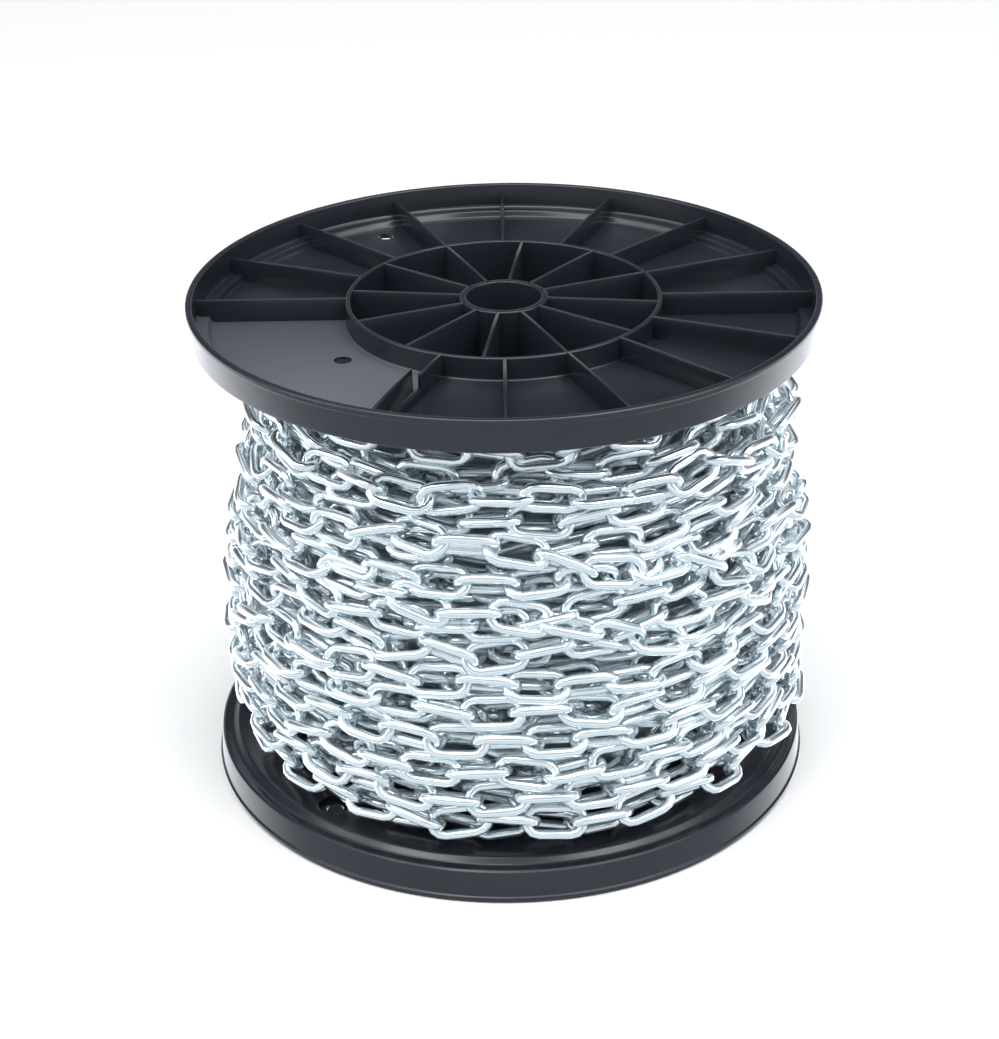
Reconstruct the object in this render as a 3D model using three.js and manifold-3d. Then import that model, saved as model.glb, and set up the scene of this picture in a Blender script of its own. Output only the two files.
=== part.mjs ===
// Reel of steel chain: two moulded reel halves and the chain wound between them.
// Units are mm, +Z is up along the reel axis, the reel stands on its lower flange at z = 0.
import * as THREE from 'three';
import { mergeVertices } from 'three/examples/jsm/utils/BufferGeometryUtils.js';
import Module from 'manifold-3d';

// ---- driving dimensions -------------------------------------------------------------
const HEIGHT = 173;            // lower lip to upper lip
const FLANGE_R = 105;          // outer edge of the lip
const LIP_WALL = 2.3;          // thickness of the lip
const RIB_TOP = -3;            // rib tops below the lip
const RIB_WALL = 1.3;          // thickness of every rib and web
const FLOOR_TOP = -10.6;       // outside face of the flange floor, below the lip
const FLOOR_LOW = -13.2;       // chain-side face of the flange floor
const LEDGE_TOP = -8.6;        // raised ledge inside the rim
const LEDGE_R = 97;            // where the ledge starts
const BARREL_R = 52.5;         // outside of the barrel
const BARREL_WALL = 1.5;
const BORE_R = 12.5;           // axle bore
const HUB_R = 14.8;            // outside of the hub sleeve
const END_WALL = 2;            // closed end of each half at mid-height
const GAP = 0.3;               // clearance between touching pieces
const LOWER_TURN = -13.5;      // turn of the lower half against the upper, in degrees
const STEP_ANGLE = 22.5;       // between outer ribs
const BLANK_RIBS = [202.5, 225, 247.5];   // no plain rib at these angles
const SPLIT_ANGLE = 247.5;     // rib that is cut down beside the offset wall
const WEBS = 12;               // webs inside the barrel
const HOLE_R = 2.9;            // chain-end hole and the shallow round mark
const ROWS = 13;               // rows of chain up the reel
const LAYERS = 4;              // layers of chain outwards
const ROW_GROOVE = 3.2;        // depth of the groove between rows
const ROUND = 56;              // facets round a turned shape
const CHAIN_ROUND = 48;        // facets round the wound chain

const RIB_END = FLANGE_R - 2.4;       // where the outer ribs run into the rim
const END_Z = -(HEIGHT - GAP) / 2;    // closed end of a half, measured down from its lip

const wasm = await Module();
wasm.setup();
const { Manifold, Mesh } = wasm;

// ---- helpers ------------------------------------------------------------------------
function toManifold(geometry) {
  const bare = geometry.clone();
  bare.deleteAttribute('normal');
  bare.deleteAttribute('uv');
  const welded = mergeVertices(bare, 1e-4);
  return new Manifold(new Mesh({
    numProp: 3,
    vertProperties: new Float32Array(welded.attributes.position.array),
    triVerts: new Uint32Array(welded.index.array),
  }));
}

function toGeometry(solid) {
  const mesh = solid.getMesh();
  const geometry = new THREE.BufferGeometry();
  geometry.setAttribute('position', new THREE.BufferAttribute(mesh.vertProperties, 3));
  geometry.setIndex(new THREE.BufferAttribute(mesh.triVerts, 1));
  const flat = geometry.toNonIndexed();
  flat.computeVertexNormals();
  return flat;
}

// A closed profile of [radius, height] pairs turned about Z.
function turned(profile, facets = ROUND) {
  const points = profile.map(([r, z]) => new THREE.Vector2(r, z));
  points.push(points[0].clone());
  const geometry = new THREE.LatheGeometry(points, facets);
  geometry.rotateX(Math.PI / 2);
  const solid = toManifold(geometry);
  return solid.volume() < 0 ? toManifold(flipped(geometry)) : solid;
}

function flipped(geometry) {
  const other = geometry.clone();
  const index = other.index.array;
  for (let i = 0; i < index.length; i += 3) {
    [index[i], index[i + 1]] = [index[i + 1], index[i]];
  }
  return other;
}

// An upright wall from one [x, y] point to another.
function wall(from, to, low, high, thick = RIB_WALL) {
  const dx = to[0] - from[0];
  const dy = to[1] - from[1];
  const geometry = new THREE.BoxGeometry(Math.hypot(dx, dy), thick, high - low);
  geometry.rotateZ(Math.atan2(dy, dx));
  geometry.translate((from[0] + to[0]) / 2, (from[1] + to[1]) / 2, (low + high) / 2);
  return toManifold(geometry);
}

function polar(radius, degrees) {
  const a = THREE.MathUtils.degToRad(degrees);
  return [radius * Math.cos(a), radius * Math.sin(a)];
}

function radialWall(inner, outer, degrees, low, high) {
  return wall(polar(inner, degrees), polar(outer, degrees), low, high);
}

function pin(at, radius, low, high) {
  const geometry = new THREE.CylinderGeometry(radius, radius, high - low, 20);
  geometry.rotateX(Math.PI / 2);
  geometry.translate(at[0], at[1], (low + high) / 2);
  return toManifold(geometry);
}

// ---- reel half, lip at z = 0 and barrel reaching down -------------------------------
function reelBody() {
  const inner = BARREL_R - BARREL_WALL;
  const floorIn = END_Z + END_WALL;
  return turned([
    [BORE_R, RIB_TOP], [HUB_R, RIB_TOP], [HUB_R, floorIn], [inner, floorIn],
    [inner, RIB_TOP], [BARREL_R, RIB_TOP], [BARREL_R, FLOOR_TOP], [LEDGE_R, FLOOR_TOP],
    [LEDGE_R + 1, LEDGE_TOP], [FLANGE_R - LIP_WALL - 0.5, LEDGE_TOP],
    [FLANGE_R - LIP_WALL, 0], [FLANGE_R, 0], [FLANGE_R, -1.8], [FLANGE_R - 0.8, -2.4],
    [FLANGE_R - 1.5, -9.6], [FLANGE_R - 2.4, -11.7], [FLANGE_R - 4.2, -12.8],
    [LEDGE_R + 2, -12.4], [LEDGE_R, FLOOR_LOW], [BARREL_R, FLOOR_LOW],
    [BARREL_R, END_Z], [BORE_R, END_Z],
  ]);
}

function outerRibs() {
  const ribs = [];
  for (let a = 0; a < 360; a += STEP_ANGLE) {
    if (BLANK_RIBS.includes(a)) continue;
    ribs.push(radialWall(BARREL_R - 0.7, RIB_END, a, FLOOR_TOP - 0.6, RIB_TOP));
  }
  return ribs;
}

// The rib that stops short, runs on low, and the offset wall that makes a slot beside it.
function splitRib() {
  const stop = 0.654 * FLANGE_R;
  return [
    radialWall(BARREL_R - 0.7, stop, SPLIT_ANGLE, FLOOR_TOP - 0.6, RIB_TOP),
    radialWall(stop - 0.5, RIB_END, SPLIT_ANGLE, FLOOR_TOP - 0.6, RIB_TOP - 4.9),
    wall(polar(0.625 * FLANGE_R, 243.6), polar(RIB_END, 246.3),
      FLOOR_TOP - 0.6, RIB_TOP),
  ];
}

function innerWebs() {
  const webs = [];
  for (let i = 0; i < WEBS; i += 1) {
    const a = STEP_ANGLE + i * (360 / WEBS);
    webs.push(radialWall(BORE_R + 1.2, BARREL_R - 0.7, a, END_Z + END_WALL / 2, RIB_TOP));
  }
  return webs;
}

function reelHalf() {
  const joined = Manifold.union([reelBody(), ...outerRibs(), ...splitRib(), ...innerWebs()]);
  const hole = pin(polar(0.847 * FLANGE_R, 118.5), HOLE_R, FLOOR_LOW - 2, RIB_TOP + 1);
  const mark = pin(polar(0.592 * FLANGE_R, 213.5), HOLE_R, FLOOR_TOP - 0.7, FLOOR_TOP + 1);
  return Manifold.difference([joined, hole, mark]);
}

// ---- wound chain --------------------------------------------------------------------
// Outer radius of the wound chain, fullest a quarter of the way up.
function packRadius(t) {
  return 89 + 11.5 * Math.sin(Math.PI * Math.sqrt(t));
}

function woundChain() {
  const low = -FLOOR_LOW + GAP;
  const high = HEIGHT + FLOOR_LOW - GAP;
  const inner = BARREL_R + GAP + 0.1;
  const pitch = (high - low) / ROWS;
  const profile = [[inner, low]];
  const ring = (packRadius(0) - inner) / LAYERS;
  for (let i = 1; i < LAYERS; i += 1) {
    const r = inner + i * ring;
    profile.push([r - 1.6, low], [r, low + 2.2], [r + 1.6, low]);
  }
  for (let i = 0; i < ROWS; i += 1) {
    const z = low + i * pitch;
    const r = packRadius((i + 0.5) / ROWS);
    profile.push([r - ROW_GROOVE, z], [r, z + pitch * 0.35], [r, z + pitch * 0.65]);
  }
  profile.push([packRadius(1) - ROW_GROOVE, high]);
  for (let i = LAYERS - 1; i > 0; i -= 1) {
    const r = inner + i * ring;
    profile.push([r + 1.6, high], [r, high - 2.2], [r - 1.6, high]);
  }
  profile.push([inner, high]);
  return turned(profile, CHAIN_ROUND);
}

// ---- assembly -----------------------------------------------------------------------
function named(name, solid, color, metalness, roughness) {
  const material = new THREE.MeshStandardMaterial({ color, metalness, roughness });
  material.name = `${name}_material`;
  const mesh = new THREE.Mesh(toGeometry(solid), material);
  mesh.name = name;
  return mesh;
}

const group = new THREE.Group();
group.name = 'reel_of_chain';

const half = reelHalf();
group.add(named('upper_reel_half', half.translate([0, 0, HEIGHT]), 0x23262b, 0, 0.42));
group.add(named('lower_reel_half', half.rotate([180, 0, LOWER_TURN]), 0x23262b, 0, 0.42));
group.add(named('wound_chain', woundChain(), 0xcfd8dc, 1, 0.28));

export default group;
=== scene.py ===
import math

import bpy
import numpy as np
from mathutils import Matrix, Vector, noise


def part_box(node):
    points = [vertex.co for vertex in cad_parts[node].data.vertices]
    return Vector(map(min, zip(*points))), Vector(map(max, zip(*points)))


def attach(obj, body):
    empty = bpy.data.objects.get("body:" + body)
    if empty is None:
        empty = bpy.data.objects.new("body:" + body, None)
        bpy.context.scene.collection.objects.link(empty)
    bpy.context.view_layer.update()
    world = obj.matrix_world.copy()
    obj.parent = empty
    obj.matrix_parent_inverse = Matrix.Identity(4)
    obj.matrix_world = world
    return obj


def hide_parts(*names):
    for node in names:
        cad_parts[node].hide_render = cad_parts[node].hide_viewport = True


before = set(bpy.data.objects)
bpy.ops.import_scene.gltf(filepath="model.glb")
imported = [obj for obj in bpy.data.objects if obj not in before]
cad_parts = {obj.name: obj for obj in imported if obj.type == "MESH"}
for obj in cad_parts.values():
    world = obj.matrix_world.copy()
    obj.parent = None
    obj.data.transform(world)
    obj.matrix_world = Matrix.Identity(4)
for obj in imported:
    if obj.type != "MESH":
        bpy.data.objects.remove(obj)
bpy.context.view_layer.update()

bl_info = {
    "name": "Reel of steel chain",
    "version": (1, 0, 0),
    "blender": (4, 5, 0),
    "location": "View3D > Sidebar > Chain Reel",
    "description": "Models a moulded reel wound with zinc-plated short-link chain",
    "category": "Object",
}

MM = 0.001
UPPER_LOW, UPPER_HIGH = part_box("upper_reel_half")
LOWER_LOW, LOWER_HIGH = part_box("lower_reel_half")
CHAIN_LOW, CHAIN_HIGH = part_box("wound_chain")
REEL_HEIGHT = UPPER_HIGH.z
FLANGE_RADIUS = UPPER_HIGH.x
HALF_DEPTH = UPPER_HIGH.z - UPPER_LOW.z

RIB_STEP = 22.5                       # degrees between flange ribs
BLANK_RIBS = (202.5, 225.0, 247.5)    # where no plain rib stands
SPLIT_ANGLE = 247.5                   # the rib that is cut down beside the offset wall
OFFSET_WALL = (243.6, 246.3)          # degrees where it starts and ends
SATIN_FROM, SATIN_TO = 180, 247       # degrees spanned by the plain satin sector
WEB_COUNT = 12                        # webs inside the barrel
HOLE_PLACE = (0.847, 118.5)           # chain-end hole: share of the radius, degrees
MARK_PLACE = (0.592, 213.5)           # shallow round mark, in the same way
HOLE_RADIUS = 2.9 * MM                # of both
HOLE_MOUTH = 5.6 * MM                 # radius that the hole opens out to beside the chain
CHAIN_SIDE = -13.4 * MM               # chain side of the flange, below its lip

LAYER_COUNT = 3
LOOSE_TURNS = 3        # slack turns that wander over the outer layer
STATIONS = 60          # places round the reel where the strands are packed
STRAND = 9.7 * MM      # room that a strand takes, measured across
SETTLING_STEPS = 90
GIVING_WAY = 0.28      # share of an overlap that a strand gives way by, each step
DRAWING_IN = 0.08      # share of the way that it is drawn back to rest, each step
EVENING = 0.16         # pull of the stations on either side, each step
WIDEST_REST = 99.3     # furthest out that a strand is drawn in to, in millimetres
WIDEST_WOUND = 99.4    # furthest out that it ends up, in millimetres
JOINT_SPACING = 0.972  # joints along a strand, in pitches: the rest is slack
ZIGZAG = (1.9, 0.9)    # joints off the strand, in millimetres: always, and with unrest
LINKING_STEPS = 10
LINKING = 0.4          # share of a link's stretch that each of its ends takes up, each step

CAMERA_BACK = 6.8723   # camera in front of the axis, in flange radii
CAMERA_RISE = 2.7252   # camera above the upper lip, in flange radii
CAMERA_TILT = 27.32    # degrees that it looks down
CAMERA_ROLL = -0.0155
CAMERA_SHIFT = -0.0074


# ---- settings ------------------------------------------------------------------------
class ReelSettings(bpy.types.PropertyGroup):
    """Sizes and finish of the moulded reel."""

    floor_depth: bpy.props.FloatProperty(
        name="Floor Depth", description="Outside face of the flange floor below the lip",
        default=10.6 * MM, min=0.002, unit="LENGTH")
    rib_drop: bpy.props.FloatProperty(
        name="Rib Drop", description="Rib tops below the lip",
        default=3.0 * MM, min=0.0, unit="LENGTH")
    rib_wall: bpy.props.FloatProperty(
        name="Rib Wall", description="Thickness of a rib at its top",
        default=1.2 * MM, min=0.0003, unit="LENGTH")
    barrel_radius: bpy.props.FloatProperty(
        name="Barrel Radius", description="Outside of the barrel",
        default=52.5 * MM, min=0.005, unit="LENGTH")
    hub_radius: bpy.props.FloatProperty(
        name="Hub Radius", description="Outside of the hub sleeve",
        default=14.8 * MM, min=0.003, unit="LENGTH")
    bore_radius: bpy.props.FloatProperty(
        name="Bore Radius", description="Axle bore through the hub",
        default=12.5 * MM, min=0.002, unit="LENGTH")
    plastic: bpy.props.FloatVectorProperty(
        name="Plastic", description="Colour of the moulded plastic", subtype="COLOR",
        default=(0.0090, 0.0110, 0.0155), min=0.0, max=1.0)
    lower_turn: bpy.props.FloatProperty(
        name="Lower Turn", description="Turn of the lower half against the upper",
        default=math.radians(-13.5), subtype="ANGLE")


class ChainSettings(bpy.types.PropertyGroup):
    """Sizes and finish of the wound chain."""

    wire: bpy.props.FloatProperty(
        name="Wire", description="Diameter of the link wire",
        default=3.2 * MM, min=0.0005, unit="LENGTH")
    pitch: bpy.props.FloatProperty(
        name="Pitch", description="Inside length of a link",
        default=16.0 * MM, min=0.002, unit="LENGTH")
    width: bpy.props.FloatProperty(
        name="Width", description="Outside width of a link",
        default=12.0 * MM, min=0.002, unit="LENGTH")
    rows: bpy.props.IntProperty(
        name="Rows", description="Turns of chain up the reel in each layer",
        default=13, min=2)
    zinc: bpy.props.FloatVectorProperty(
        name="Zinc", description="Colour of the bright zinc plating", subtype="COLOR",
        default=(0.85, 0.95, 0.975), min=0.0, max=1.0)


class StageSettings(bpy.types.PropertyGroup):
    """Floor, light and lens of the studio."""

    floor: bpy.props.FloatVectorProperty(
        name="Floor", description="Colour of the floor", subtype="COLOR",
        default=(0.86, 0.86, 0.86), min=0.0, max=1.0)
    sky: bpy.props.FloatProperty(
        name="Sky", description="Strength of the even light all round",
        default=1.0, min=0.0)
    lens: bpy.props.FloatProperty(
        name="Lens", description="Focal length in millimetres", default=80.85, min=10.0)


# ---- helpers -------------------------------------------------------------------------
def deselect_all():
    for item in bpy.context.selected_objects:
        item.select_set(False)


def activate(piece):
    deselect_all()
    piece.select_set(True)
    bpy.context.view_layer.objects.active = piece


def leave_edit():
    bpy.ops.object.mode_set(mode="OBJECT")


def pick_vertices(piece, wanted):
    """Selects the corners whose place passes the test, ready for an edit operator."""
    leave_edit()
    for item in piece.data.polygons:
        item.select = False
    for item in piece.data.edges:
        item.select = False
    for item in piece.data.vertices:
        item.select = bool(wanted(item.co))
    bpy.ops.object.mode_set(mode="EDIT")


def apply_modifier(piece, kind, **values):
    activate(piece)
    modifier = piece.modifiers.new(kind.title(), kind)
    for key, value in values.items():
        setattr(modifier, key, value)
    bpy.ops.object.modifier_apply(modifier=modifier.name)


def join(pieces, name):
    deselect_all()
    for piece in pieces:
        piece.select_set(True)
    bpy.context.view_layer.objects.active = pieces[0]
    bpy.ops.object.join()
    joined = bpy.context.object
    joined.name = name
    joined.data.name = name
    return joined


def fillet(corners, steps=3):
    """Outline points with each corner (x, z, radius) rounded off."""
    points = []
    count = len(corners)
    for i, (x, z, radius) in enumerate(corners):
        here = Vector((x, z))
        to_last = Vector(corners[i - 1][:2]) - here
        to_next = Vector(corners[(i + 1) % count][:2]) - here
        half = to_last.angle(to_next) / 2
        cut = min(radius / math.tan(half), to_last.length * 0.48, to_next.length * 0.48)
        start = here + to_last.normalized() * cut
        end = here + to_next.normalized() * cut
        for k in range(steps + 1):
            t = k / steps
            points.append(start.lerp(here, t).lerp(here.lerp(end, t), t))
    return points


def turn_outline(name, corners, steps, rounding=3):
    """A solid turned about Z from a closed outline, drawn corner by corner and spun."""
    points = [Vector((p.x, 0, p.y)) for p in fillet(corners, rounding)]
    deselect_all()
    bpy.ops.mesh.primitive_plane_add(size=MM, location=points[0])
    piece = bpy.context.object
    piece.name = name
    bpy.ops.object.transform_apply(location=True)
    bpy.ops.object.mode_set(mode="EDIT")
    bpy.ops.mesh.select_all(action="SELECT")
    bpy.ops.mesh.merge(type="CENTER")
    for last, point in zip(points, points[1:] + points[:1]):
        bpy.ops.mesh.extrude_vertices_move(
            TRANSFORM_OT_translate={"value": point - last})
    bpy.ops.mesh.select_all(action="SELECT")
    bpy.ops.mesh.remove_doubles(threshold=1e-6)
    bpy.ops.mesh.spin(steps=steps, angle=math.tau, center=(0, 0, 0), axis=(0, 0, 1))
    bpy.ops.mesh.select_all(action="SELECT")
    bpy.ops.mesh.remove_doubles(threshold=1e-6)
    bpy.ops.mesh.normals_make_consistent(inside=False)
    leave_edit()
    return piece


def smooth(piece, degrees=35):
    activate(piece)
    bpy.ops.object.shade_smooth_by_angle(angle=math.radians(degrees))


def hand_over(piece, material, replaced):
    """Gives a finished piece its material and ties it to the frame."""
    piece.data.materials.clear()
    piece.data.materials.append(material)
    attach(piece, "root")
    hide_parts(replaced)


# ---- materials -----------------------------------------------------------------------
def new_material(name):
    material = bpy.data.materials.new(name)
    material.use_nodes = True
    nodes = material.node_tree.nodes
    links = material.node_tree.links
    return material, nodes, links, nodes["Principled BSDF"]


def noise_node(nodes, links, source, scale, detail, rough=0.5):
    node = nodes.new("ShaderNodeTexNoise")
    node.inputs["Scale"].default_value = scale
    node.inputs["Detail"].default_value = detail
    node.inputs["Roughness"].default_value = rough
    links.new(source, node.inputs["Vector"])
    return node.outputs["Fac"]


def attribute(nodes, name):
    node = nodes.new("ShaderNodeAttribute")
    node.attribute_name = name
    return node.outputs["Fac"]


def span(nodes, links, value, low, high, from_low=0.0, from_high=1.0):
    """The value moved from one range to another, held inside the new one."""
    node = nodes.new("ShaderNodeMapRange")
    node.inputs["From Min"].default_value = from_low
    node.inputs["From Max"].default_value = from_high
    node.inputs["To Min"].default_value = low
    node.inputs["To Max"].default_value = high
    links.new(value, node.inputs["Value"])
    return node.outputs["Result"]


def mix_colour(nodes, links, factor, first, second):
    """Mixes two colours, each of them either plain or another node's output."""
    node = nodes.new("ShaderNodeMix")
    node.data_type = "RGBA"
    links.new(factor, node.inputs["Factor"])
    for socket, value in ((node.inputs["A"], first), (node.inputs["B"], second)):
        if hasattr(value, "is_output"):
            links.new(value, socket)
        else:
            socket.default_value = (*value, 1.0)
    return node.outputs["Result"]


def bump(nodes, links, shader, height, distance, strength):
    node = nodes.new("ShaderNodeBump")
    node.inputs["Distance"].default_value = distance
    node.inputs["Strength"].default_value = strength
    links.new(height, node.inputs["Height"])
    links.new(node.outputs["Normal"], shader.inputs["Normal"])


def moulded_plastic(colour):
    """Black plastic with light dust, and a satin finish where it is marked, whose colour is
    paler with a painted sheen that grows lighter towards the front.
    """
    material, nodes, links, shader = new_material("moulded_black_plastic")
    place = nodes.new("ShaderNodeTexCoord").outputs["Object"]
    cloudy = noise_node(nodes, links, place, scale=22.0, detail=4.0)
    fine = noise_node(nodes, links, place, scale=1100.0, detail=2.0)
    dust = noise_node(nodes, links, place, scale=420.0, detail=6.0, rough=0.75)
    satin_and_sheen = attribute(nodes, "satin_and_sheen")
    lighter = tuple(c * 1.7 for c in colour)
    body = mix_colour(nodes, links, cloudy, colour, lighter)
    split = nodes.new("ShaderNodeSeparateXYZ")
    links.new(place, split.inputs["Vector"])
    # Painted sheen: the satin sector is paler than the plastic and lighter still towards
    # the front, standing in for its reflection.
    lighter_to_front = span(nodes, links, split.outputs["Y"], 1.0, 0.0, from_low=-0.09, from_high=-0.01)
    painted_sheen = mix_colour(nodes, links, lighter_to_front, (0.045, 0.050, 0.060), (0.110, 0.118, 0.135))
    body = mix_colour(nodes, links, satin_and_sheen, body, painted_sheen)
    specks = span(nodes, links, dust, 0.0, 0.8, from_low=0.70, from_high=0.76)
    links.new(mix_colour(nodes, links, specks, body, (0.12, 0.13, 0.15)),
              shader.inputs["Base Color"])
    gloss = span(nodes, links, cloudy, 0.17, 0.30, from_low=0.3, from_high=0.7)
    add = nodes.new("ShaderNodeMath")
    links.new(gloss, add.inputs[0])
    links.new(span(nodes, links, satin_and_sheen, 0.0, 0.20), add.inputs[1])
    links.new(add.outputs["Value"], shader.inputs["Roughness"])
    shader.inputs["IOR"].default_value = 1.52
    bump(nodes, links, shader, fine, distance=0.04 * MM, strength=0.3)
    return material


def bright_zinc(name, colour, painted_shade):
    """Bright plated metal with a darker seam at each weld, its colour scaled down as
    painted shade for the copy on the inner layers.
    """
    material, nodes, links, shader = new_material(name)
    place = nodes.new("ShaderNodeTexCoord").outputs["Object"]
    broad = noise_node(nodes, links, place, scale=60.0, detail=2.0)
    grain = noise_node(nodes, links, place, scale=1400.0, detail=3.0)
    cool = tuple(c * painted_shade for c in colour)
    warm = tuple(min(1.0, c * k) * painted_shade for c, k in zip(colour, (1.06, 0.98, 1.0)))
    tone = mix_colour(nodes, links, broad, cool, warm)
    seam = span(nodes, links, attribute(nodes, "weld"), 0.0, 0.75,
                from_low=0.955, from_high=0.99)
    dark = tuple(c * 0.25 for c in colour)
    links.new(mix_colour(nodes, links, seam, tone, dark), shader.inputs["Base Color"])
    shader.inputs["Metallic"].default_value = 0.94
    gloss = span(nodes, links, broad, 0.15, 0.27, from_low=0.3, from_high=0.7)
    links.new(gloss, shader.inputs["Roughness"])
    bump(nodes, links, shader, grain, distance=0.03 * MM, strength=0.3)
    return material


def painted_shade_core_metal():
    """The windings deep inside, seen only through gaps, in a darker grey than the zinc as
    painted shade.
    """
    material, nodes, links, shader = new_material("shadowed_zinc")
    place = nodes.new("ShaderNodeTexCoord").outputs["Object"]
    mottle = noise_node(nodes, links, place, scale=220.0, detail=3.0)
    # Painted shade: the deep windings are a dull, darker grey instead of bright zinc.
    links.new(mix_colour(nodes, links, mottle, (0.34, 0.41, 0.44), (0.66, 0.75, 0.78)),
              shader.inputs["Base Color"])
    shader.inputs["Metallic"].default_value = 0.15
    shader.inputs["Roughness"].default_value = 0.5
    return material


# ---- reel ----------------------------------------------------------------------------
def flange_corners(reel):
    """Outline of one reel half, with its lip at zero and its barrel reaching down.

    Each corner is a radius, a level and its rounding, which is in millimetres.
    """
    rim = FLANGE_RADIUS
    rib = -reel.rib_drop
    deep = -(HALF_DEPTH - 2 * MM)
    end = -HALF_DEPTH
    floor = -reel.floor_depth
    barrel_in = reel.barrel_radius - 1.5 * MM
    ledge = floor + 2 * MM
    shape = [
        (reel.bore_radius, rib, 0.4), (reel.hub_radius, rib, 0.5),
        (reel.hub_radius, deep, 0.5), (barrel_in, deep, 0.5), (barrel_in, rib, 0.4),
        (reel.barrel_radius, rib, 0.5), (reel.barrel_radius, floor, 0.8),
        (97.0 * MM, floor, 0.8), (98.0 * MM, ledge, 0.7),
        (102.1 * MM, ledge, 1.2), (rim - 2.3 * MM, 0.0, 0.5),
        (rim, 0.0, 0.7), (rim, -1.9 * MM, 0.5), (rim - 0.7 * MM, -2.3 * MM, 0.3),
        (rim - 1.3 * MM, -12.0 * MM, 2.2), (99.9 * MM, -11.1 * MM, 1.6),
        (97.7 * MM, CHAIN_SIDE, 1.7), (reel.barrel_radius, CHAIN_SIDE, 0.8),
        (reel.barrel_radius, end, 0.6), (reel.bore_radius, end, 0.6),
    ]
    return [(x, z, r * MM) for x, z, r in shape]


def polar(radius, degrees):
    """A point on the level of the lip, by its distance and direction from the axis."""
    angle = math.radians(degrees)
    return Vector((radius * math.cos(angle), radius * math.sin(angle), 0.0))


def model_rib(start, end, low, high, wall):
    """A moulded rib from one point to another, drafted so that it is thinner at the top."""
    run = end - start
    middle = (start + end) / 2
    deselect_all()
    bpy.ops.mesh.primitive_cube_add(
        size=1.0, location=(0, 0, (low + high) / 2),
        scale=(run.length, wall * 1.3, high - low))
    rib = bpy.context.object
    bpy.ops.object.transform_apply(location=True, rotation=True, scale=True)
    activate(rib)
    pick_vertices(rib, lambda co: co.z > (low + high) / 2)
    bpy.ops.transform.resize(value=(1.0, 0.75, 1.0), center_override=(0, 0, high))
    leave_edit()
    apply_modifier(rib, "BEVEL", width=0.22 * MM, segments=2, limit_method="ANGLE",
                   angle_limit=math.radians(60))
    turn = Matrix.Rotation(math.atan2(run.y, run.x), 4, "Z")
    rib.data.transform(Matrix.Translation((middle.x, middle.y, 0)) @ turn)
    return rib


def drill(piece, place, radius, low, high):
    """Cuts a round hole from one level to another."""
    deselect_all()
    bpy.ops.mesh.primitive_cylinder_add(
        vertices=32, radius=radius, depth=high - low,
        location=(place.x, place.y, (low + high) / 2))
    drill_bit = bpy.context.object
    apply_modifier(piece, "BOOLEAN", object=drill_bit, operation="DIFFERENCE",
                   solver="EXACT")
    bpy.data.objects.remove(drill_bit)


def mark_satin_and_sheen(half, floor):
    """Marks the wide plain part of the floor, which has a satin finish and a painted sheen
    in its colour.
    """
    mark = half.data.attributes.new("satin_and_sheen", "FLOAT", "FACE")
    for face, item in zip(half.data.polygons, mark.data):
        place = face.center
        radius = math.hypot(place.x, place.y)
        angle = math.degrees(math.atan2(place.y, place.x)) % 360
        level = floor - 0.1 * MM < place.z < floor + 2.5 * MM and face.normal.z > 0.3
        item.value = float(level and radius > 52 * MM and SATIN_FROM < angle < SATIN_TO)


class REEL_OT_halves(bpy.types.Operator):
    """Turn one moulded half, rib it, and copy it upside down for the other flange"""

    bl_idname = "chain_reel.halves"
    bl_label = "Reel Halves"

    def execute(self, context):
        reel = context.scene.chain_reel_body
        half = turn_outline("upper_reel", flange_corners(reel), steps=144)
        floor = -reel.floor_depth
        rib_top = -reel.rib_drop
        wall = reel.rib_wall
        below = -20 * MM
        hole = polar(HOLE_PLACE[0] * FLANGE_RADIUS, HOLE_PLACE[1])
        spot = polar(MARK_PLACE[0] * FLANGE_RADIUS, MARK_PLACE[1])
        drill(half, hole, HOLE_RADIUS, below, 0)
        drill(half, hole, HOLE_MOUTH, below, floor - MM)
        drill(half, spot, HOLE_RADIUS, floor - 0.8 * MM, 0)
        mark_satin_and_sheen(half, floor)
        parts = [half]
        foot = floor - 0.2 * MM
        ring = reel.barrel_radius - 0.7 * MM
        rim = FLANGE_RADIUS - 2.0 * MM
        for k in range(round(360 / RIB_STEP)):
            angle = RIB_STEP * k
            if angle not in BLANK_RIBS:
                parts.append(model_rib(polar(ring, angle), polar(rim, angle),
                                       foot, rib_top, wall))
        stop = 0.654 * FLANGE_RADIUS
        parts.append(model_rib(polar(ring, SPLIT_ANGLE), polar(stop, SPLIT_ANGLE),
                               foot, rib_top, wall))
        parts.append(model_rib(polar(stop - MM, SPLIT_ANGLE), polar(rim, SPLIT_ANGLE),
                               foot, rib_top - 4.9 * MM, wall))
        parts.append(model_rib(polar(0.625 * FLANGE_RADIUS, OFFSET_WALL[0]),
                               polar(rim, OFFSET_WALL[1]), foot, rib_top, wall))
        for k in range(WEB_COUNT):
            angle = RIB_STEP + 360 / WEB_COUNT * k
            parts.append(model_rib(polar(reel.bore_radius + MM, angle), polar(ring, angle),
                                   -HALF_DEPTH + MM, rib_top, wall))
        upper = join(parts, "upper_reel")
        smooth(upper)
        lower = upper.copy()
        lower.data = upper.data.copy()
        lower.name = "lower_reel"
        context.scene.collection.objects.link(lower)
        upper.data.transform(Matrix.Translation((0, 0, REEL_HEIGHT)))
        lower.data.transform(Matrix.Rotation(reel.lower_turn, 4, "Z")
                             @ Matrix.Rotation(math.pi, 4, "X"))
        plastic = moulded_plastic(tuple(reel.plastic))
        hand_over(upper, plastic, "upper_reel_half")
        hand_over(lower, plastic, "lower_reel_half")
        return {"FINISHED"}


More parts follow.
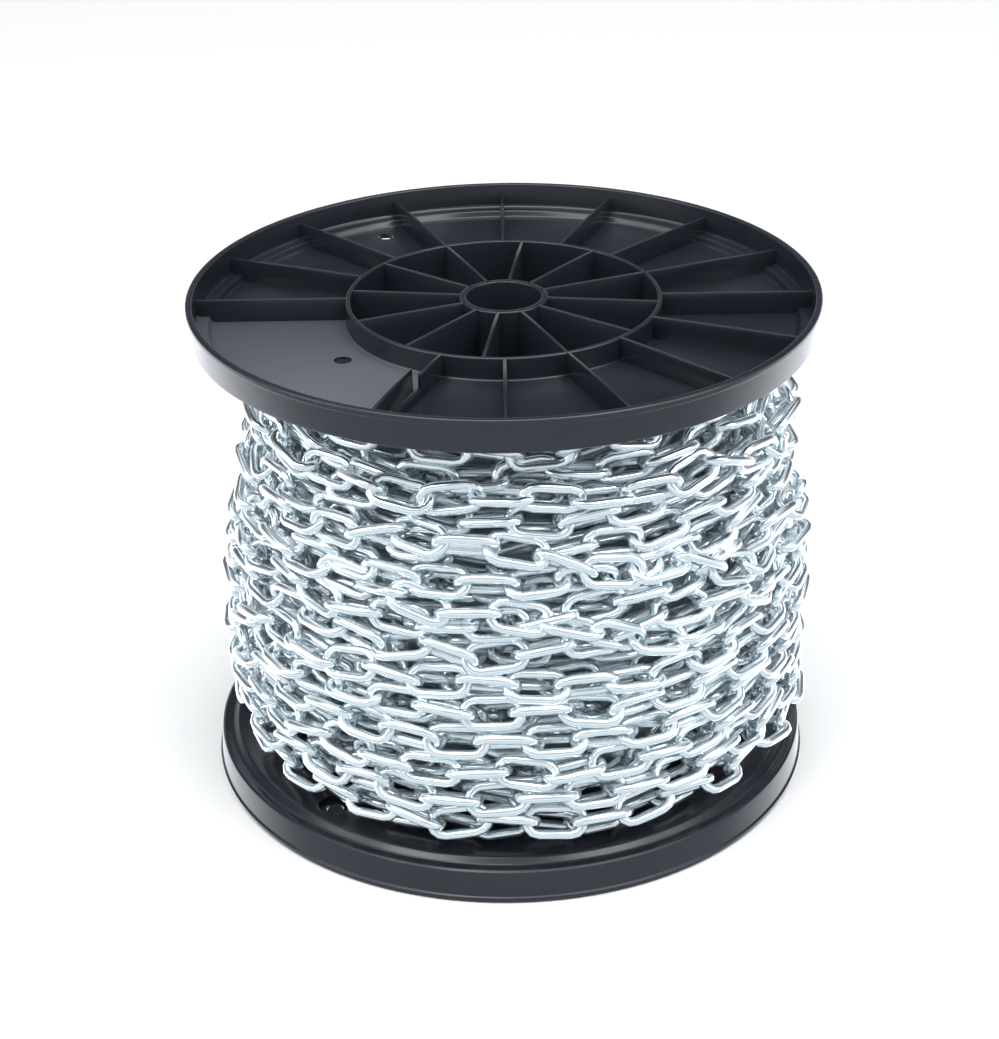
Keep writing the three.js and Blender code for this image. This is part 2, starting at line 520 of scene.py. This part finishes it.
# ---- chain ---------------------------------------------------------------------------
def model_link(name, chain, arc_steps, sides, welded):
    """One link lying along X: its wire section is spun round one end, drawn along a side,
    spun round the other end and drawn back, with the bead of the weld half way."""
    reach = (chain.pitch + 2 * chain.wire - chain.width) / 2
    middle = (chain.width - chain.wire) / 2
    deselect_all()
    bpy.ops.mesh.primitive_circle_add(
        vertices=sides, radius=chain.wire / 2, location=(reach, middle, 0),
        rotation=(0, math.pi / 2, 0))
    link = bpy.context.object
    link.name = name
    bpy.ops.object.transform_apply(location=True, rotation=True)
    bpy.ops.object.mode_set(mode="EDIT")
    bpy.ops.mesh.select_all(action="SELECT")
    bpy.ops.mesh.spin(steps=arc_steps, angle=math.pi, center=(reach, 0, 0), axis=(0, 0, 1))
    draw_on(-2 * reach)
    bpy.ops.mesh.spin(steps=arc_steps, angle=math.pi, center=(-reach, 0, 0), axis=(0, 0, 1))
    if welded:
        bead = 0.55 * MM
        proud = 1.1
        draw_on(reach - bead)
        bpy.ops.transform.resize(value=(1, proud, proud),
                                 center_override=(-bead, middle, 0))
        draw_on(2 * bead)
        draw_on(reach - bead)
        bpy.ops.transform.resize(value=(1, 1 / proud, 1 / proud),
                                 center_override=(reach, middle, 0))
    else:
        draw_on(2 * reach)
    bpy.ops.mesh.select_all(action="SELECT")
    bpy.ops.mesh.remove_doubles(threshold=1e-6)
    bpy.ops.mesh.normals_make_consistent(inside=False)
    leave_edit()
    mark = link.data.attributes.new("weld", "FLOAT", "POINT")
    mark.data.foreach_set("value", [
        max(0.0, 1.0 - abs(v.co.x) / reach) if welded and v.co.y > 0 else 0.0
        for v in link.data.vertices])
    activate(link)
    bpy.ops.object.shade_smooth()
    return link


def draw_on(distance):
    """Extends the selected wire section along X."""
    bpy.ops.mesh.extrude_edges_move(TRANSFORM_OT_translate={"value": (distance, 0, 0)})


def soft_noise(x, y, seed):
    return noise.noise(Vector((x, y, seed)))


def strand_start(turn, rows):
    """Layer, place up the reel from 0 to 1, and unrest of the run after so many turns."""
    layer = min(int(turn // rows), LAYER_COUNT)
    if layer == LAYER_COUNT:
        return layer, 0.93 - 0.36 * (turn - LAYER_COUNT * rows) / LOOSE_TURNS, 3.0
    t = (turn - layer * rows) / rows
    t = t if layer % 2 == 0 else 1 - t
    return layer, t, 0.4 + 1.2 * t * t


def rest_radius(layer, t, angle, slack):
    """Radius a strand is drawn in to: fullest low down, and fuller on one side.

    The parts of the sum are in millimetres.
    """
    dent = 6.0 * math.exp(-((angle - 2.07) / 0.25) ** 2) * max(0.0, 5 * t - 4)
    swell = math.sin(math.pi * math.sqrt(0.02 + 0.98 * t))
    belly = 5.0 * max(0.0, -math.sin(angle)) ** 2 * max(0.0, 1 - 6 * t)
    full = 84.5 + 13.5 * swell + 4.0 * slack - dent + belly
    lean = 4.0 * math.cos(angle)
    if layer == LAYER_COUNT:
        return min(full + lean + 1.5 - 20 * max(0.0, t - 0.75), WIDEST_REST) * MM
    room = 4.5 * min(1.0, max(0.0, 4 * t - 2.2))
    inwards = 9.4 * (LAYER_COUNT - 1 - layer)
    lean = lean * (layer + 1) / LAYER_COUNT
    return min(full - room - inwards + lean, WIDEST_REST) * MM


def settle_strands(chain):
    """Radius and height of every strand at each station, from the barrel outwards.

    The chain is one run: up the inner layer, down the next, up the outer one and loosely
    over it. Strands push each other apart, are drawn in and stay between the flanges.
    """
    low = CHAIN_LOW.z + STRAND / 2
    high = CHAIN_HIGH.z - STRAND / 2
    turns = LAYER_COUNT * chain.rows + LOOSE_TURNS
    rest, height = [], []
    for i in range(turns * STATIONS):
        layer, t, unrest = strand_start(i / STATIONS, chain.rows)
        angle = math.tau * (i % STATIONS) / STATIONS
        x, y = math.cos(angle), math.sin(angle)
        wave = soft_noise(2.0 * x + layer * 9, 2.0 * y, t * 3.6)
        jitter = soft_noise(3.2 * x, 3.2 * y + 20, t * 30 + layer * 5)
        slack = soft_noise(1.4 * x + 40, 1.4 * y, t * 22 + layer * 3)
        height.append(low + t * (high - low) + (10.0 * wave + 4.0 * jitter) * unrest * MM)
        rest.append(rest_radius(layer, t, angle, slack))
    rest, height = np.array(rest), np.array(height)
    radius = rest.copy()
    for _ in range(SETTLING_STEPS):
        r = radius.reshape(turns, STATIONS)
        z = height.reshape(turns, STATIONS)
        dr = r[:, None, :] - r[None, :, :]
        dz = z[:, None, :] - z[None, :, :]
        gap = np.sqrt(dr * dr + dz * dz) + 1e-9
        push = np.clip(STRAND - gap, 0, None) / gap * GIVING_WAY
        for k in range(turns):
            push[k, k, :] = 0
        radius = radius + (push * dr).sum(1).reshape(-1) + DRAWING_IN * (rest - radius)
        height = height + (push * dz).sum(1).reshape(-1)
        for values in (radius, height):
            values[1:-1] += EVENING * (values[:-2] + values[2:] - 2 * values[1:-1])
        height = np.clip(height, low, high)
    t = (height - low) / (high - low)
    angle = math.tau * (np.arange(len(radius)) % STATIONS) / STATIONS
    widest = 95.0 - 22.0 * (t - 0.6) + 4.8 * np.cos(angle)
    return np.minimum(radius, np.minimum(widest, WIDEST_WOUND) * MM), height


def strand_points(radius, height):
    """The whole run of chain as points, one at each station that it passes."""
    angles = math.tau * np.arange(len(radius)) / STATIONS
    return np.stack([radius * np.cos(angles), radius * np.sin(angles), height], 1)


def run_length(points):
    """How far along the run each of its points is."""
    steps = np.linalg.norm(np.diff(points, axis=0), axis=1)
    return np.concatenate([[0], np.cumsum(steps)])


def place_joints(points, chain):
    """Places where one link bears on the next, zigzagging as far as the slack allows."""
    length = run_length(points)
    marks = np.arange(0, length[-1], JOINT_SPACING * chain.pitch)
    joints = np.stack([np.interp(marks, length, points[:, k]) for k in range(3)], 1)
    turn = np.interp(marks, length, np.arange(len(points))) / STATIONS
    for k, joint in enumerate(joints):
        unrest = strand_start(turn[k], chain.rows)[2]
        kink = [soft_noise(k * 1.37, 5.5, 2.2 + 4.3 * axis) for axis in range(3)]
        joint += np.array(kink) * (ZIGZAG[0] + ZIGZAG[1] * unrest) * MM
    for _ in range(LINKING_STEPS):
        gaps = np.diff(joints, axis=0)
        reach = np.linalg.norm(gaps, axis=1, keepdims=True)
        shift = gaps * (reach - chain.pitch) / reach * LINKING
        joints[:-1] += shift
        joints[1:] -= shift
    return joints, turn


def link_matrix(centre, along, roll):
    """Lays a link on its run, rolled about it from lying flat against the reel."""
    tangent = Vector(along).normalized()
    outward = Vector((centre[0], centre[1], 0)).normalized()
    outward = (outward - tangent * outward.dot(tangent)).normalized()
    upward = outward.cross(tangent)
    across = upward * math.cos(roll) + outward * math.sin(roll)
    normal = tangent.cross(across)
    turn = Matrix((tangent, across, normal)).transposed().to_4x4()
    return Matrix.Translation(centre) @ turn


class REEL_OT_chain(bpy.types.Operator):
    """Model one link and wind a long run of them round the barrel in layers"""

    bl_idname = "chain_reel.chain"
    bl_label = "Wound Chain"

    def execute(self, context):
        chain = context.scene.chain_reel_chain
        near_link = model_link("near_link", chain, arc_steps=6, sides=8, welded=True)
        deep_link = model_link("deep_link", chain, arc_steps=4, sides=6, welded=False)
        points = strand_points(*settle_strands(chain))
        joints, turn_of_link = place_joints(points, chain)
        zinc = tuple(chain.zinc)
        outer_zinc = bright_zinc("bright_zinc", zinc, painted_shade=1.0)
        # Painted shade: the inner layers take a darker copy of the zinc because they lie
        # deeper in the winding.
        shaded_inner_zinc = bright_zinc("bright_zinc_inside_painted_shade", zinc, painted_shade=0.92)
        winding = [[] for _ in range(LAYER_COUNT)]
        for k in range(len(joints) - 1):
            layer, _, unrest = strand_start(turn_of_link[k], chain.rows)
            layer = min(layer, LAYER_COUNT - 1)
            template = near_link if layer == LAYER_COUNT - 1 else deep_link
            wander = soft_noise(k * 0.11, layer, 3.3) * (0.9 + 0.7 * unrest)
            shake = soft_noise(k * 1.7, layer + 5, 8.1) * 0.6
            roll = math.pi / 4 + (k % 2) * math.pi / 2 + wander + shake
            flip = Matrix.Rotation(math.pi * (k // 2 % 2), 4, "X")
            link = template.copy()
            link.data = template.data.copy()
            link.data.transform(link_matrix((joints[k] + joints[k + 1]) / 2,
                                            joints[k + 1] - joints[k], roll) @ flip)
            context.scene.collection.objects.link(link)
            winding[layer].append(link)
        for layer, links in enumerate(winding):
            piece = join(links, f"chain_layer_{layer + 1}")
            outer = layer == LAYER_COUNT - 1
            hand_over(piece, outer_zinc if outer else shaded_inner_zinc,
                      "wound_chain")
        for template in (near_link, deep_link):
            bpy.data.objects.remove(template)
        return {"FINISHED"}


class REEL_OT_core(bpy.types.Operator):
    """Turn the hidden inner windings as one ridged solid round the barrel"""

    bl_idname = "chain_reel.core"
    bl_label = "Inner Windings"

    def execute(self, context):
        chain = context.scene.chain_reel_chain
        rows = 2 * chain.rows
        low, high = CHAIN_LOW.z, CHAIN_HIGH.z
        inner = context.scene.chain_reel_body.barrel_radius + 0.4 * MM
        row = (high - low) / rows
        end_radius = 57 * MM
        corners = [(inner, low, 0.2 * MM), (end_radius, low, 0.5 * MM)]
        for k in range(rows):
            swell = (59.5 + 11 * math.sin(math.pi * math.sqrt((k + 0.5) / rows))) * MM
            corners += [(swell, low + (k + 0.25) * row, MM),
                        (swell, low + (k + 0.75) * row, MM),
                        (swell - 2.2 * MM, low + (k + 1) * row, 0.4 * MM)]
        corners[-1] = (end_radius, high, 0.5 * MM)
        corners.append((inner, high, 0.2 * MM))
        core = turn_outline("inner_windings", corners, steps=72, rounding=2)
        smooth(core, degrees=60)
        hand_over(core, painted_shade_core_metal(), "wound_chain")
        return {"FINISHED"}


# ---- stage ---------------------------------------------------------------------------
def studio_light(name, place, target, size, power):
    """A soft lamp aimed at the target, which the camera doesn't see."""
    data = bpy.data.lights.new(name, "AREA")
    data.shape = "RECTANGLE"
    data.size, data.size_y = size
    data.energy = power
    lamp = bpy.data.objects.new(name, data)
    bpy.context.scene.collection.objects.link(lamp)
    lamp.location = place
    lamp.visible_camera = False
    aim = Vector(target) - Vector(place)
    lamp.rotation_euler = aim.to_track_quat("-Z", "Y").to_euler()


def sky_ramp(nodes, links, height, horizon, above, below):
    """Sky colour by height: pale overhead and at the horizon, dimmer between and below."""
    ramp = nodes.new("ShaderNodeValToRGB")
    links.new(height, ramp.inputs["Fac"])
    pale = (horizon, horizon, horizon)
    stops = ramp.color_ramp.elements
    stops[0].position, stops[0].color = 0.44, (*below, 1.0)
    stops[1].position, stops[1].color = 0.47, (*pale, 1.0)
    for position, colour in ((0.58, pale), (0.63, above), (0.80, above),
                             (0.90, (1.0, 1.0, 1.0))):
        stops.new(position).color = (*colour, 1.0)
    return ramp.outputs["Color"]


def light_sky(scene, strength):
    """Even light all round that is dimmer behind the reel than in front of it."""
    world = bpy.data.worlds.new("studio")
    world.use_nodes = True
    nodes, links = world.node_tree.nodes, world.node_tree.links
    split = nodes.new("ShaderNodeSeparateXYZ")
    links.new(nodes.new("ShaderNodeTexCoord").outputs["Generated"], split.inputs["Vector"])
    height = span(nodes, links, split.outputs["Z"], 0.0, 1.0, from_low=-1.0)
    front = sky_ramp(nodes, links, height, horizon=1.0,
                     above=(0.44, 0.50, 0.54), below=(0.68, 0.76, 0.82))
    back = sky_ramp(nodes, links, height, horizon=0.78,
                    above=(0.07, 0.08, 0.09), below=(2.4, 2.45, 2.6))
    behind = span(nodes, links, split.outputs["Y"], 0.0, 1.0, from_low=-0.1, from_high=0.5)
    background = nodes["Background"]
    links.new(mix_colour(nodes, links, behind, front, back), background.inputs["Color"])
    background.inputs["Strength"].default_value = strength
    scene.world = world


def lay_floor(colour):
    """A plain floor that turns paler further away. Only its mirror image is left out."""
    deselect_all()
    bpy.ops.mesh.primitive_plane_add(size=8.0, location=(0, 0, 0))
    floor = bpy.context.object
    floor.name = "studio_floor"
    paper, nodes, links, shader = new_material("pale_floor")
    place = nodes.new("ShaderNodeTexCoord").outputs["Object"]
    faint = noise_node(nodes, links, place, scale=3.0, detail=2.0)
    tint = tuple(c * 0.985 for c in colour)
    away = nodes.new("ShaderNodeVectorMath")
    away.operation = "LENGTH"
    links.new(place, away.inputs[0])
    far = span(nodes, links, away.outputs["Value"], 0.0, 1.0, from_low=0.7, from_high=2.0)
    paint = mix_colour(nodes, links, faint, colour, tint)
    links.new(mix_colour(nodes, links, far, paint, (1.0, 1.0, 1.0)),
              shader.inputs["Base Color"])
    shader.inputs["Roughness"].default_value = 0.9
    floor.data.materials.append(paper)
    floor.visible_glossy = False


def place_camera(scene, focal_length):
    lens = bpy.data.cameras.new("camera")
    lens.lens = focal_length
    lens.sensor_width = 36.0
    lens.shift_x = CAMERA_SHIFT
    camera = bpy.data.objects.new("camera", lens)
    scene.collection.objects.link(camera)
    tilt = Matrix.Rotation(math.radians(90 - CAMERA_TILT), 4, "X")
    level = Matrix.Rotation(CAMERA_ROLL, 4, "Z")
    spot = Matrix.Translation((0, -CAMERA_BACK * FLANGE_RADIUS,
                               REEL_HEIGHT + CAMERA_RISE * FLANGE_RADIUS))
    camera.matrix_world = spot @ tilt @ level
    scene.camera = camera


class REEL_OT_stage(bpy.types.Operator):
    """Lay the floor, hang the soft lights and place the camera"""

    bl_idname = "chain_reel.stage"
    bl_label = "Stage"

    def execute(self, context):
        scene = context.scene
        stage = scene.chain_reel_stage
        lay_floor(tuple(stage.floor))
        light_sky(scene, stage.sky)
        scene.view_settings.view_transform = "Standard"
        middle = (0, 0, REEL_HEIGHT / 2)
        studio_light("top_softbox", (0.05, -0.1, 1.5), middle, size=(1.3, 0.8), power=13)
        for side in (-1, 1):
            studio_light("front_softbox", (0.75 * side, -0.8, 1.3), middle,
                         size=(0.7, 0.55), power=5.5)
        studio_light("left_softbox", (-1.4, -0.5, 0.8), middle, size=(0.7, 1.0), power=6)
        studio_light("right_softbox", (1.4, -0.6, 0.9), middle, size=(0.7, 1.0), power=6)
        place_camera(scene, stage.lens)
        return {"FINISHED"}


# ---- panel and registration ----------------------------------------------------------
class REEL_PT_panel(bpy.types.Panel):
    """Lists the pieces and their settings"""

    bl_label = "Chain Reel"
    bl_space_type = "VIEW_3D"
    bl_region_type = "UI"
    bl_category = "Chain Reel"

    def draw(self, context):
        scene = context.scene
        layout = self.layout
        for name in SETTINGS:
            group = getattr(scene, name)
            box = layout.box()
            for setting in group.__annotations__:
                box.prop(group, setting)
        for operator in BUILD_ORDER:
            layout.operator(operator)


BUILD_ORDER = ("chain_reel.stage", "chain_reel.halves", "chain_reel.core",
               "chain_reel.chain")
CLASSES = (ReelSettings, ChainSettings, StageSettings, REEL_OT_halves, REEL_OT_chain,
           REEL_OT_core, REEL_OT_stage, REEL_PT_panel)
SETTINGS = {"chain_reel_body": ReelSettings, "chain_reel_chain": ChainSettings,
            "chain_reel_stage": StageSettings}


def register():
    for item in CLASSES:
        bpy.utils.register_class(item)
    for name, group in SETTINGS.items():
        setattr(bpy.types.Scene, name, bpy.props.PointerProperty(type=group))


def unregister():
    for name in SETTINGS:
        delattr(bpy.types.Scene, name)
    for item in reversed(CLASSES):
        bpy.utils.unregister_class(item)


def main():
    register()
    bpy.ops.chain_reel.stage()
    bpy.ops.chain_reel.halves()
    bpy.ops.chain_reel.core()
    bpy.ops.chain_reel.chain()


if __name__ == "__main__":
    main()
